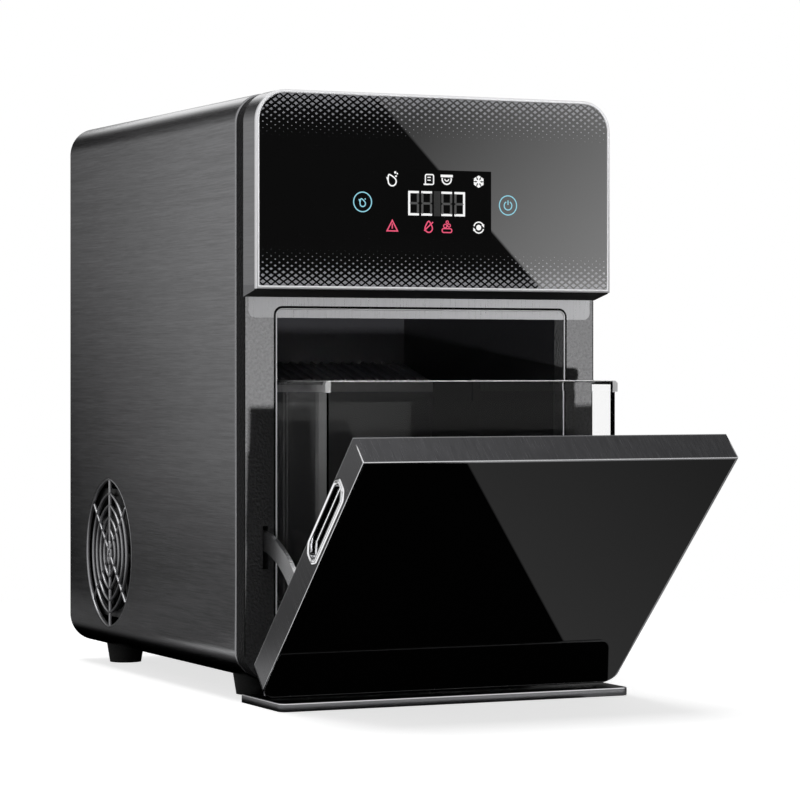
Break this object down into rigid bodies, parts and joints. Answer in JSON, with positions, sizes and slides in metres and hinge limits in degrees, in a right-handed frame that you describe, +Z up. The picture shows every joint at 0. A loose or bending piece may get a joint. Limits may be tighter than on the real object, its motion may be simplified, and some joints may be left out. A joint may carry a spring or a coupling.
{
  "type": "countertop ice ball maker",
  "caption": "Free-standing ice ball maker: black glass front door tilts down on stay arms and draws out a clear ice bin; control header above, vented cabinet behind.",
  "frame": {"origin": "on the counter, on the base plate's underside, below the middle of the front frame's face", "axes": "+X to the machine's right seen from the front, +Y from the door to the rear panel, +Z up"},
  "size_m": [0.2806, 0.5852, 0.43],
  "materials": {
    "black_steel_wrapper": "fine brushed, dark anodised look",
    "rear_sheet": "satin powder coat",
    "screw_steel": "plated",
    "foot_rubber": "matt",
    "frame_plastic": "fine leather grain",
    "brow_silver": "fine brushed",
    "trim_silver": "polished edge",
    "header_side": "fine brushed dark",
    "black_glass": "polished, printed behind",
    "black_gloss": "gloss",
    "board_green": "solder resist",
    "vent_chrome": "polished",
    "liner_black": "satin",
    "hinge_zinc": "zinc plated",
    "stay_steel": "bright",
    "white_plastic": "satin",
    "hose_silicone": "satin",
    "mould_plastic": "food grade",
    "mould_metal": "cast",
    "copper": "bright copper",
    "compressor_paint": "gloss",
    "condenser_fins": "mill",
    "fan_plastic": "satin",
    "drain_rubber": "satin",
    "handle_chrome": "polished",
    "handle_cup_black": "gloss",
    "bin_clear": "clear polycarbonate"
  },
  "bodies": {
    "cabinet": {"wrapper_shell": "black_steel_wrapper", "rear_panel": "rear_sheet", "rear_screws": "screw_steel", "base_pan": "rear_sheet", "feet": "foot_rubber", "base_plate": "black_gloss", "front_frame": "frame_plastic", "brow_strip": "brow_silver", "opening_rim": "trim_silver", "header_housing": "header_side", "header_bezel": "trim_silver", "header_glass": "black_glass", "header_underside": "black_gloss", "display_board": "board_green", "vent_grille_left": "vent_chrome", "vent_grille_right": "vent_chrome", "liner_wall_left": "liner_black", "liner_wall_right": "liner_black", "liner_floor": "liner_black", "bulkhead": "liner_black", "ice_ramp": "liner_black", "chamber_rear": "liner_black", "chamber_top": "liner_black", "hinge_brackets": "hinge_zinc", "hinge_pins": "screw_steel", "water_tank": "white_plastic", "water_pump": "white_plastic", "water_hose": "hose_silicone", "water_manifold": "white_plastic", "upper_mould": "mould_metal", "evaporator_coil": "copper", "gear_motor": "white_plastic", "compressor": "compressor_paint", "condenser": "condenser_fins", "filter_drier": "copper", "refrigerant_lines": "copper", "fan_shroud": "fan_plastic", "fan_motor": "fan_plastic", "main_board": "board_green", "power_inlet": "fan_plastic", "drain_outlet": "fan_plastic"},
    "door": {"door_shell": "header_side", "door_trim": "trim_silver", "door_glass": "black_glass", "door_inner_panel": "liner_black", "handle_cup_left": "handle_cup_black", "handle_cup_right": "handle_cup_black", "handle_rim_left": "handle_chrome", "handle_rim_right": "handle_chrome", "hinge_ears": "hinge_zinc", "stay_arms": "stay_steel"},
    "bin": {"ice_bin": "bin_clear"},
    "tray": {"lower_mould": "mould_plastic", "tray_gear": "white_plastic"},
    "pinion": {"motor_pinion": "white_plastic"},
    "fan": {"fan_blade": "fan_plastic"},
    "drain_plug": {"drain_cap": "drain_rubber"}
  },
  "joints": [
    {"name": "door_tilt", "type": "hinge", "parent": "cabinet", "child": "door", "pos_m": [0, 0.0148, 0.0184], "axis": [1, 0, 0], "range_deg": [-46.5, 0]},
    {"name": "bin_slide", "type": "slide", "parent": "cabinet", "child": "bin", "axis": [0, -1, 0], "range_m": [-0.0865, 0]},
    {"name": "tray_tilt", "type": "hinge", "parent": "cabinet", "child": "tray", "pos_m": [0, 0.109, 0.314], "axis": [1, 0, 0], "range_deg": [-35, 0]},
    {"name": "pinion_spin", "type": "hinge", "parent": "cabinet", "child": "pinion", "pos_m": [0.122, 0.109, 0.344], "axis": [1, 0, 0], "range_deg": [-0.5, 59]},
    {"name": "fan_spin", "type": "hinge", "parent": "cabinet", "child": "fan", "pos_m": [-0.125, 0.2835, 0.091], "axis": [1, 0, 0], "continuous": true},
    {"name": "drain_plug_pull", "type": "slide", "parent": "cabinet", "child": "drain_plug", "axis": [0, 1, 0], "range_m": [0, 0.015]}
  ],
  "couplings": [
    {"joint": "bin_slide", "follows": "door_tilt", "m_per_rad": 0.10597},
    {"joint": "pinion_spin", "follows": "tray_tilt", "ratio": -1.6667}
  ]
}
